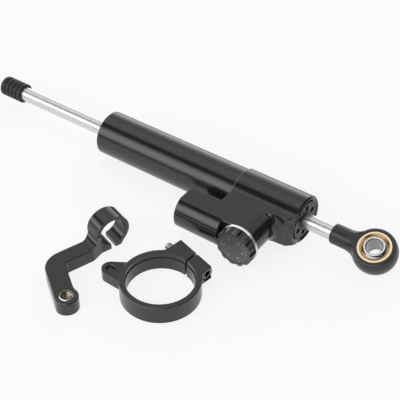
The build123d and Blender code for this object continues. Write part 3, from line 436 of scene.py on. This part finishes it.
# Rod and its ball
# The rod is hard-chromed and ground steel, polished last, so only very fine rings are left.
# The ball in the rod end has the same chrome with a mirror polish, and its bore is painted darker as shade in
# the hole.
CHROME = (0.74, 0.74, 0.75)
CHROME_SHADE = (0.66, 0.66, 0.67)
ROD_FINISH = {"roughness": 0.33, "line_pitch": 0.25, "line_depth": 0.0004}
BALL_FINISH = {"roughness": 0.06, "line_pitch": 0.3, "line_depth": 0.0004}
BALL_BORE = 5.2
# Darker colour painted inside the ball's bore: painted shade in the hole.
BORE_SHADE = (0.24, 0.235, 0.23)
EYE_CENTRE = (149.5, 0.0, 0.0)
EYE_TILT = 22.0
EYE_AXIS = (0.0, -math.sin(math.radians(EYE_TILT)), math.cos(math.radians(EYE_TILT)))
CLEANEST_SHARE = 0.7
DULLEST_SHARE = 1.3


def metal(name, centre, axis, bright, shade, roughness, line_pitch, line_depth, inside=None, before=None):
    """Bare or plated metal: turned rings, tone in bands, dull patches and polished edges with a painted
    highlight.

    inside is a radius and the painted shade of what lies within it.
    before is a station along the axis and the painted shade of what lies short of it."""
    material, tree, shader = new_material(name, Metallic=1.0)
    coordinate = piece_coordinate(tree, centre, axis)
    lines = use_group(tree, turned_lines, coordinate, line_pitch)
    wear_and_highlight = use_group(tree, edge_wear_and_highlight, coordinate, EDGE_WIDTH)
    hands = use_group(tree, handling, coordinate, PATCH_SIZE)
    put(tree, shader.inputs["Normal"], bump(tree, lines["Height"], line_depth, wear_and_highlight["Normal"]))
    dulled = between(tree, hands["Patches"], roughness * CLEANEST_SHARE, roughness * DULLEST_SHARE)
    put(tree, shader.inputs["Roughness"], dulled)
    colour = blend(tree, lines["Tone"], bright, shade)
    # Paints shade on what lies short of the station.
    if before:
        station, short_shade = before
        way = axis_radius(tree, coordinate)[1]
        colour = blend(tree, calculate(tree, "LESS_THAN", way, station), colour, short_shade)
    # The edges take the bright colour: polish and a painted highlight.
    colour = blend(tree, wear_and_highlight["Edge"], colour, bright)
    # Paints shade on what lies within the radius.
    if inside:
        reach, inner_shade = inside
        radius = axis_radius(tree, coordinate)[0]
        colour = blend(tree, calculate(tree, "LESS_THAN", radius, reach), colour, inner_shade)
    put(tree, shader.inputs["Base Color"], colour)
    return material


dress(metal("rod_chrome", DAMPER_CENTRE, ALONG_X, CHROME, CHROME_SHADE, **ROD_FINISH), "piston_rod")
dress(metal("ball_chrome", EYE_CENTRE, EYE_AXIS, CHROME, CHROME_SHADE, inside=(BALL_BORE, BORE_SHADE),
            **BALL_FINISH), "rod_end_ball")


# Rod end
# A black forged eye with a satin, faintly pebbled skin, and a turned brass race rolled into it.
# The race's flat is bright, and its bevel is painted a darker gold as shade.
FORGED_BLACK = (0.014, 0.0145, 0.015)
FORGED_PALE = (0.024, 0.024, 0.025)
# Paler edge colour: partly rubbed wear, partly a painted highlight.
FORGED_RUBBED_HIGHLIGHT = (0.10, 0.10, 0.10)
FORGED_IOR = 1.5
FORGED_CLEANEST = 0.27
FORGED_DULLEST = 0.38
FORGED_PATCH_SIZE = 9.0
PEBBLE_SCALE = 1.6
PEBBLE_DEPTH = 0.006
FORGED_GRAIN_SCALE = 4.0
FORGED_GRAIN_DEPTH = 0.004
BRASS = (0.95, 0.82, 0.58)
BRASS_SHADE = (0.88, 0.70, 0.44)
# Darker gold painted on the race's bevel as shade.
BEVEL_GOLD_SHADE = (0.50, 0.32, 0.14)
RACE_FINISH = {"roughness": 0.20, "line_pitch": 0.22, "line_depth": 0.0012}
RACE_MOUTH = 9.12

forged, tree, shader = new_material("forged_black", IOR=FORGED_IOR)
coordinate = piece_coordinate(tree, EYE_CENTRE, EYE_AXIS)
wear_and_highlight = use_group(tree, edge_wear_and_highlight, coordinate, EDGE_WIDTH)
hands = use_group(tree, handling, coordinate, FORGED_PATCH_SIZE)
pebbles = add_node(tree, "ShaderNodeTexVoronoi", [("Vector", coordinate), ("Scale", PEBBLE_SCALE)],
                   feature="SMOOTH_F1")
skin = bump(tree, pebbles.outputs["Distance"], PEBBLE_DEPTH, wear_and_highlight["Normal"])
grain = noise(tree, coordinate, FORGED_GRAIN_SCALE)
put(tree, shader.inputs["Normal"], bump(tree, grain, FORGED_GRAIN_DEPTH, skin))
skin_tone = blend(tree, hands["Patches"], FORGED_BLACK, FORGED_PALE)
# Paler edges: partly rubbed wear, partly a painted highlight.
put(tree, shader.inputs["Base Color"], blend(tree, wear_and_highlight["Edge"], skin_tone, FORGED_RUBBED_HIGHLIGHT))
put(tree, shader.inputs["Roughness"], between(tree, hands["Patches"], FORGED_CLEANEST, FORGED_DULLEST))
dress(forged, "rod_end_housing")
dress(metal("race_brass", EYE_CENTRE, EYE_AXIS, BRASS, BRASS_SHADE, inside=(RACE_MOUTH, BEVEL_GOLD_SHADE),
            **RACE_FINISH), "rod_end_race")


# Adjuster knob, its dial and the washer behind it
# The scalloped knob is turned and milled, then black anodised. The dial plate sits sunk in its front. The
# dial and the knob's front are painted a paler grey as a painted reflection of the floor.
# The detent washer behind it is left bright, with the rings of its facing cut.
KNOB_CENTRE = (79.6, -45.0, 0.0)
ALONG_MINUS_Y = (0.0, -1.0, 0.0)
KNOB_FRONT = 2.55
KNOB_FINISH = {
    "roughness": 0.20,
    "spread": 0.04,
    "line_pitch": 0.3,
    "line_depth": 0.0012,
    "grain_size": 0.3,
    "grain_depth": 0.001,
}
# Paler grey painted on the dial and the knob's front: a painted reflection of the floor.
DIAL_GREY_REFLECTION = (0.050, 0.050, 0.050)
DIAL_FINISH = {
    "roughness": 0.34,
    "spread": 0.03,
    "line_pitch": 0.25,
    "line_depth": 0.0012,
    "grain_size": 0.2,
    "grain_depth": 0.002,
}
WASHER_BRIGHT = (0.86, 0.86, 0.86)
WASHER_SHADE = (0.72, 0.72, 0.73)
WASHER_FINISH = {"roughness": 0.34, "line_pitch": 0.2, "line_depth": 0.001}
DIAL_FRONT = -47.4
DIAL_STEP = 15.0
DIAL_TURN = 150.0
DIAL_LONG_EVERY = 4
TICK_OUTER = 9.5
TICK_LONG = 1.5
TICK_SHORT = 0.8
TICK_WIDTH = 0.22
NUMBER_RADIUS = 6.6
NUMBER_SIZE = 1.9
MARK_HEIGHT = 0.04
MARK_GREY = (0.75, 0.75, 0.75)
MARK_GREY_SHADE = (0.60, 0.60, 0.60)
MARK_FINISH = {"roughness": 0.4, "line_pitch": 0.2, "line_depth": 0.001}
QUARTER_TURN = math.radians(90)
MERGE_DISTANCE = 0.001

dress(anodised("knob_anodised", KNOB_CENTRE, ALONG_MINUS_Y, front=(KNOB_FRONT, DIAL_GREY_REFLECTION), **KNOB_FINISH),
      "adjuster_knob")
dress(anodised("dial_anodised", KNOB_CENTRE, ALONG_MINUS_Y, dye=DIAL_GREY_REFLECTION, **DIAL_FINISH), "knob_face")
dress(metal("washer_bright", KNOB_CENTRE, ALONG_MINUS_Y, WASHER_BRIGHT, WASHER_SHADE, **WASHER_FINISH),
      "adjuster_washer")

# Laser marks on the dial: a tick for each click, and every fourth one longer, with its number.
marks_mesh = bmesh.new()
facing_front = Matrix.Rotation(QUARTER_TURN, 4, "X")
dial_place = Matrix.Translation((KNOB_CENTRE[0] * MM, DIAL_FRONT * MM, KNOB_CENTRE[2] * MM)) @ facing_front
for index in range(round(2 * DIAL_TURN / DIAL_STEP) + 1):
    spoke = Matrix.Rotation(math.radians(DIAL_TURN - index * DIAL_STEP), 4, "Z")
    numbered = index % DIAL_LONG_EVERY == 0
    length = TICK_LONG if numbered else TICK_SHORT
    tick = Matrix.Translation((0, (TICK_OUTER - length / 2) * MM, MARK_HEIGHT / 2 * MM))
    size = Matrix.Diagonal((TICK_WIDTH * MM, length * MM, MARK_HEIGHT * MM, 1))
    bmesh.ops.create_cube(marks_mesh, size=1.0, matrix=dial_place @ spoke @ tick @ size)
    if numbered:
        figure = bpy.data.curves.new("figure", "FONT")
        figure.body = str(index)
        figure.size = NUMBER_SIZE * MM
        figure.align_x = "CENTER"
        figure.align_y = "CENTER"
        figure.extrude = MARK_HEIGHT / 2 * MM
        figure_object = bpy.data.objects.new("figure", figure)
        scene.collection.objects.link(figure_object)
        flat = bpy.data.meshes.new_from_object(figure_object)
        bpy.data.objects.remove(figure_object)
        raised = Matrix.Translation((0, NUMBER_RADIUS * MM, MARK_HEIGHT / 2 * MM))
        flat.transform(dial_place @ spoke @ raised)
        marks_mesh.from_mesh(flat)
        bpy.data.meshes.remove(flat)
bmesh.ops.remove_doubles(marks_mesh, verts=marks_mesh.verts[:], dist=MERGE_DISTANCE * MM)
bmesh.ops.recalc_face_normals(marks_mesh, faces=marks_mesh.faces[:])
laser_mark = metal("laser_mark", KNOB_CENTRE, ALONG_MINUS_Y, MARK_GREY, MARK_GREY_SHADE, **MARK_FINISH)
dial_marks = new_piece("dial_marks", marks_mesh, laser_mark)
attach(dial_marks, "knob_group")


# Rod cap
# A moulded rubber cap pushed over the rod's free end, with rounded ribs and a softly rounded nose.
# Its skin is matt, with faint flow marks and dust. The rubber seals inside the damper are made of the same.
CAP_NOSE = -151.0
CAP_MOUTH = -132.6
CAP_FLOOR = -149.02
CAP_RADIUS = 6.9
CAP_BORE = 5.02
CAP_GROOVE_RADIUS = 6.3
CAP_GROOVE_HALF = 0.55
CAP_GROOVE_COUNT = 4
CAP_GROOVE_PITCH = 3.6
CAP_FIRST_GROOVE = -146.45
CAP_NOSE_ROUND = 1.1
CAP_NOSE_SEGMENTS = 6
CAP_RIB_ROUND = 0.24
CAP_RIB_SEGMENTS = 3
CAP_CLEAR = 1.0
RUBBER_DARK = (0.012, 0.012, 0.012)
RUBBER_DUSTY = (0.024, 0.024, 0.025)
RUBBER_IOR = 1.45
RUBBER_CLEANEST = 0.42
RUBBER_DULLEST = 0.62
RUBBER_PATCH_SIZE = 5.0
FLOW_PITCH = 1.3
FLOW_DEPTH = 0.004
RUBBER_GRAIN_SCALE = 5.0
RUBBER_GRAIN_DEPTH = 0.008
ROUND_STEPS = 96
SHARP_ANGLE = 34.0


def spun(points, steps=ROUND_STEPS):
    """Closed mesh spun about +X from (x, radius) points in mm."""
    mesh = bmesh.new()
    corners = [mesh.verts.new((x * MM, 0, radius * MM)) for x, radius in points]
    edges = [mesh.edges.new(pair) for pair in zip(corners, corners[1:])]
    bmesh.ops.spin(mesh, geom=corners + edges, cent=(0, 0, 0), axis=(1, 0, 0), angle=math.tau, steps=steps,
                   use_merge=True)
    bmesh.ops.remove_doubles(mesh, verts=mesh.verts[:], dist=MERGE_DISTANCE * MM)
    bmesh.ops.recalc_face_normals(mesh, faces=mesh.faces[:])
    return mesh


def round_rings(mesh, wanted, width, segments):
    """Rounds the ring edges of a spun mesh whose (x, radius) in mm are wanted."""
    rings = []
    for edge in mesh.edges:
        ends = [(vert.co.x / MM, math.hypot(vert.co.y, vert.co.z) / MM) for vert in edge.verts]
        if math.dist(*ends) < MERGE_DISTANCE and wanted(*ends[0]):
            rings.append(edge)
    bmesh.ops.bevel(mesh, geom=rings, offset=width * MM, segments=segments, profile=0.5, affect="EDGES",
                    material=-1)


def smooth(piece):
    """Smooth shading with sharp edges kept."""
    piece.data.shade_smooth()
    piece.data.set_sharp_from_angle(angle=math.radians(SHARP_ANGLE))
    return piece


def on_ribs(x, radius):
    """True for a ring on the cap's outside, clear of its bore and its nose."""
    return radius > CAP_BORE + CAP_CLEAR and x > CAP_NOSE + CAP_CLEAR


def on_nose(x, radius):
    """True for the ring round the cap's nose."""
    return radius > CAP_BORE + CAP_CLEAR and x < CAP_NOSE + CAP_CLEAR


rubber, tree, shader = new_material("rubber", IOR=RUBBER_IOR)
coordinate = piece_coordinate(tree, (CAP_NOSE, 0.0, 0.0), ALONG_X)
hands = use_group(tree, handling, coordinate, RUBBER_PATCH_SIZE)
flow = use_group(tree, turned_lines, coordinate, FLOW_PITCH)
skin = bump(tree, flow["Height"], FLOW_DEPTH)
grain = noise(tree, coordinate, RUBBER_GRAIN_SCALE)
put(tree, shader.inputs["Normal"], bump(tree, grain, RUBBER_GRAIN_DEPTH, skin))
put(tree, shader.inputs["Base Color"], blend(tree, hands["Patches"], RUBBER_DARK, RUBBER_DUSTY))
put(tree, shader.inputs["Roughness"], between(tree, hands["Specks"], RUBBER_CLEANEST, RUBBER_DULLEST))

cap_outline = [(CAP_NOSE, 0), (CAP_NOSE, CAP_RADIUS)]
for index in range(CAP_GROOVE_COUNT):
    groove = CAP_FIRST_GROOVE + index * CAP_GROOVE_PITCH
    cap_outline += [
        (groove - CAP_GROOVE_HALF, CAP_RADIUS),
        (groove - CAP_GROOVE_HALF, CAP_GROOVE_RADIUS),
        (groove + CAP_GROOVE_HALF, CAP_GROOVE_RADIUS),
        (groove + CAP_GROOVE_HALF, CAP_RADIUS),
    ]
cap_outline += [(CAP_MOUTH, CAP_RADIUS), (CAP_MOUTH, CAP_BORE), (CAP_FLOOR, CAP_BORE), (CAP_FLOOR, 0)]
cap_mesh = spun(cap_outline)
round_rings(cap_mesh, on_ribs, CAP_RIB_ROUND, CAP_RIB_SEGMENTS)
round_rings(cap_mesh, on_nose, CAP_NOSE_ROUND, CAP_NOSE_SEGMENTS)
cap = smooth(new_piece("ribbed_cap", cap_mesh, rubber))
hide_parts("rod_cap")
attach(cap, "rod_group")
dress(rubber, "left_rod_seal", "right_rod_seal", "left_wiper", "right_wiper", "left_gland_o_ring",
      "right_gland_o_ring", "tube_o_ring", "spindle_o_ring", "reservoir_cap_o_ring", "floating_piston_o_ring")


# Fork clamp
# Turned and milled from aluminium plate, blasted a little and black anodised, so it is duller than the tube.
# Its bore keeps the boring tool's rings.
CLAMP_CENTRE = (56.6, -89.2, -16.0)
CLAMP_TURN = 80.0
ALONG_Z = (0.0, 0.0, 1.0)
CLAMP_FINISH = {
    "roughness": 0.24,
    "spread": 0.04,
    "line_pitch": 0.5,
    "line_depth": 0.003,
    "grain_size": 0.3,
    "grain_depth": 0.003,
}

dress(anodised("clamp_anodised", CLAMP_CENTRE, ALONG_Z, **CLAMP_FINISH), "fork_clamp_ring")


# Pinch bolt
# An M5 socket screw through the clamp's lugs. Its head sits sunk in its counterbore and is painted dark as
# shade there, with a painted glint on its edges.
# The thread is bright zinc, and its last turns stand out of the far lug.
BOLT_REACH = 25.5
BOLT_HEIGHT = 7.3
BOLT_HEAD_TOP = -13.3
BOLT_SEAT = -8.5
BOLT_TIP = 21.5
BOLT_HEAD_RADIUS = 4.25
BOLT_EDGE = 0.5
BOLT_EDGE_SEGMENTS = 4
BOLT_CLEAR = 1.0
BOLT_HEX = 2.3
BOLT_HEX_DEPTH = 2.6
BOLT_HEX_MOUTH = 2.75
BOLT_HEX_SIDES = 6
BOLT_RADIUS = 2.5
BOLT_ROOT = 2.05
BOLT_RIDGE_SINK = 0.05
BOLT_THREAD_START = -2.0
BOLT_PITCH = 0.8
BOLT_STEPS = 48
# Dark colour painted on the head: painted shade in its counterbore.
BOLT_HEAD_SHADE = (0.12, 0.12, 0.12)
ZINC = (0.80, 0.80, 0.79)
ZINC_SHADE = (0.62, 0.62, 0.62)
ZINC_FINISH = {"roughness": 0.26, "line_pitch": 0.3, "line_depth": 0.001}
THREAD_STEPS = 40
THREAD_HALF_SHARE = 0.44


def thread_ridge(mesh, start, end, pitch, root, crest):
    """Adds a helical ridge from its root to its crest radius, along +X, with both ends closed."""
    half = pitch * THREAD_HALF_SHARE
    turns = (end - start) / pitch
    steps = round(turns * THREAD_STEPS)
    step_turn = Matrix.Rotation(math.tau / THREAD_STEPS, 3, "X")
    corners = [mesh.verts.new((x * MM, 0, radius * MM))
               for x, radius in ((start - half, root), (start, crest), (start + half, root))]
    section = mesh.faces.new(corners)
    copied = bmesh.ops.extrude_face_region(mesh, geom=[section])
    far = [item for item in copied["geom"] if isinstance(item, bmesh.types.BMFace)]
    for step in range(steps):
        if step:
            copied = bmesh.ops.extrude_face_region(mesh, geom=far)
            bmesh.ops.delete(mesh, geom=far, context="FACES_ONLY")
            far = [item for item in copied["geom"] if isinstance(item, bmesh.types.BMFace)]
        moved = far[0].verts[:]
        bmesh.ops.rotate(mesh, verts=moved, cent=(0, 0, 0), matrix=step_turn)
        bmesh.ops.translate(mesh, verts=moved, vec=(pitch / THREAD_STEPS * MM, 0, 0))
    bmesh.ops.recalc_face_normals(mesh, faces=mesh.faces[:])


def on_head(x, radius):
    """True for the ring round the bolt head's top, clear of its shank and its seat."""
    return radius > BOLT_RADIUS + BOLT_CLEAR and x < BOLT_SEAT - BOLT_CLEAR


bolt_mesh = spun([
    (BOLT_HEAD_TOP, BOLT_HEX_MOUTH),
    (BOLT_HEAD_TOP, BOLT_HEAD_RADIUS),
    (BOLT_SEAT, BOLT_HEAD_RADIUS),
    (BOLT_SEAT, BOLT_RADIUS),
    (BOLT_THREAD_START, BOLT_RADIUS),
    (BOLT_THREAD_START, BOLT_ROOT),
    (BOLT_TIP, BOLT_ROOT),
    (BOLT_TIP, 0),
], BOLT_STEPS)
round_rings(bolt_mesh, on_head, BOLT_EDGE, BOLT_EDGE_SEGMENTS)
mouth = [edge for edge in bolt_mesh.edges if edge.is_boundary]
head_top = Matrix.Translation((BOLT_HEAD_TOP * MM, 0, 0)) @ Matrix.Rotation(QUARTER_TURN, 4, "Y")
hexagon = bmesh.ops.create_circle(bolt_mesh, segments=BOLT_HEX_SIDES, radius=BOLT_HEX * MM, matrix=head_top)
hex_edges = list({edge for vert in hexagon["verts"] for edge in vert.link_edges})
bmesh.ops.bridge_loops(bolt_mesh, edges=mouth + hex_edges)
sunk = bmesh.ops.extrude_edge_only(bolt_mesh, edges=hex_edges)["geom"]
sunk_verts = [item for item in sunk if isinstance(item, bmesh.types.BMVert)]
sunk_edges = [item for item in sunk if isinstance(item, bmesh.types.BMEdge)]
bmesh.ops.translate(bolt_mesh, verts=sunk_verts, vec=(BOLT_HEX_DEPTH * MM, 0, 0))
bmesh.ops.contextual_create(bolt_mesh, geom=sunk_edges)
bmesh.ops.recalc_face_normals(bolt_mesh, faces=bolt_mesh.faces[:])
thread_ridge(bolt_mesh, BOLT_THREAD_START + BOLT_PITCH / 2, BOLT_TIP - BOLT_PITCH, BOLT_PITCH,
             BOLT_ROOT - BOLT_RIDGE_SINK, BOLT_RADIUS)
bolt_place = (
    Matrix.Translation(Vector(CLAMP_CENTRE) * MM)
    @ Matrix.Rotation(math.radians(CLAMP_TURN), 4, "Z")
    @ Matrix.Translation((BOLT_REACH * MM, 0, BOLT_HEIGHT * MM))
    @ Matrix.Rotation(QUARTER_TURN, 4, "Z")
)
bmesh.ops.transform(bolt_mesh, matrix=bolt_place, verts=bolt_mesh.verts[:])
bolt_centre = [value / MM for value in bolt_place.translation]
bolt_axis = bolt_place.to_3x3() @ Vector(ALONG_X)
zinc = metal("zinc_plated", bolt_centre, bolt_axis, ZINC, ZINC_SHADE, before=(BOLT_SEAT, BOLT_HEAD_SHADE),
             **ZINC_FINISH)
bolt = smooth(new_piece("pinch_screw", bolt_mesh, zinc))
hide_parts("clamp_bolt")
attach(bolt, "pinch_bolt")


# Arm bracket
# Milled with its cranked bar from one aluminium block, then black anodised like the clamp.
# A bright steel insert is pressed into its end boss, tapped right through; its thread is painted darker as
# shade in the hole.
ARM_CENTRE = (8.7, -77.1, -16.0)
ARM_TURN = -19.3
ARM_FINISH = {
    "roughness": 0.2,
    "spread": 0.04,
    "line_pitch": 0.9,
    "line_depth": 0.001,
    "grain_size": 0.3,
    "grain_depth": 0.003,
}
INSERT_X = 27.6
INSERT_Y = -46.4
INSERT_TOP = 9.5
INSERT_RADIUS = 4.3
INSERT_BORE = 3.65
INSERT_EDGE = 0.4
INSERT_ROOT = 3.75
INSERT_CREST = 3.2
INSERT_PITCH = 1.25
INSERT_LEAD_IN = 0.75
INSERT_LEAD_OUT = 0.625
INSERT_STEPS = 64
INSERT_RIM = (0.80, 0.79, 0.76)
INSERT_SHADE = (0.56, 0.56, 0.55)
INSERT_FINISH = {"roughness": 0.2, "line_pitch": 0.3, "line_depth": 0.001}
THREAD_REACH = 3.8
# Darker colour painted inside the tapped bore: painted shade in the hole.
THREAD_SHADE = (0.36, 0.32, 0.27)

dress(anodised("arm_anodised", ARM_CENTRE, ALONG_Z, **ARM_FINISH), "arm_bracket")

insert_mesh = spun([
    (INSERT_EDGE, INSERT_BORE),
    (0, INSERT_ROOT),
    (0, INSERT_RADIUS - INSERT_EDGE),
    (INSERT_EDGE, INSERT_RADIUS),
    (INSERT_TOP - INSERT_EDGE, INSERT_RADIUS),
    (INSERT_TOP, INSERT_RADIUS - INSERT_EDGE),
    (INSERT_TOP, INSERT_ROOT),
    (INSERT_TOP - INSERT_EDGE, INSERT_BORE),
    (INSERT_EDGE, INSERT_BORE),
], INSERT_STEPS)
thread_ridge(insert_mesh, INSERT_LEAD_IN, INSERT_TOP - INSERT_LEAD_OUT, INSERT_PITCH,
             INSERT_ROOT, INSERT_CREST)
insert_place = (
    Matrix.Translation(Vector(ARM_CENTRE) * MM)
    @ Matrix.Rotation(math.radians(ARM_TURN), 4, "Z")
    @ Matrix.Translation((INSERT_X * MM, INSERT_Y * MM, 0))
    @ Matrix.Rotation(-QUARTER_TURN, 4, "Y")
)
bmesh.ops.transform(insert_mesh, matrix=insert_place, verts=insert_mesh.verts[:])
insert_centre = [value / MM for value in insert_place.translation]
# The tapped bore is painted darker as shade inside the hole.
insert_steel = metal("insert_steel", insert_centre, ALONG_Z, INSERT_RIM, INSERT_SHADE,
                     inside=(THREAD_REACH, THREAD_SHADE), **INSERT_FINISH)
insert = smooth(new_piece("threaded_insert", insert_mesh, insert_steel))
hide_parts("arm_bush")
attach(insert, "arm")


# Inner pieces
# Ground steel cylinder, spindle and needle, bronze bushes and ring, aluminium gland and pistons.
# Their snap rings and screws are blackened steel. They show in the ends and when the rod moves.
STEEL = (0.56, 0.56, 0.57)
STEEL_SHADE = (0.45, 0.45, 0.46)
STEEL_FINISH = {"roughness": 0.25, "line_pitch": 0.2, "line_depth": 0.0008}
BRONZE = (0.62, 0.42, 0.22)
BRONZE_SHADE = (0.48, 0.31, 0.16)
BRONZE_FINISH = {"roughness": 0.3, "line_pitch": 0.2, "line_depth": 0.001}
TURNED_FINISH = {"roughness": 0.28, "line_pitch": 0.3, "line_depth": 0.0012}
BLACKENED = (0.10, 0.10, 0.105)
BLACKENED_SHADE = (0.06, 0.06, 0.063)
BLACKENED_FINISH = {"roughness": 0.32, "line_pitch": 0.3, "line_depth": 0.001}

dress(metal("ground_steel", DAMPER_CENTRE, ALONG_X, STEEL, STEEL_SHADE, **STEEL_FINISH),
      "inner_cylinder", "detent_ball", "adjuster_spindle", "adjuster_needle")
dress(metal("bronze", DAMPER_CENTRE, ALONG_X, BRONZE, BRONZE_SHADE, **BRONZE_FINISH),
      "left_rod_bush", "right_rod_bush", "piston_ring", "needle_seat")
dress(metal("turned_aluminium", DAMPER_CENTRE, ALONG_X, WASHER_BRIGHT, WASHER_SHADE, **TURNED_FINISH),
      "left_gland", "piston", "floating_piston")
dress(metal("blackened_steel", DAMPER_CENTRE, ALONG_X, BLACKENED, BLACKENED_SHADE, **BLACKENED_FINISH),
      "left_snap_ring", "reservoir_snap_ring", "piston_clips", "filler_screw", "washer_screws", "knob_screw",
      "detent_spring")
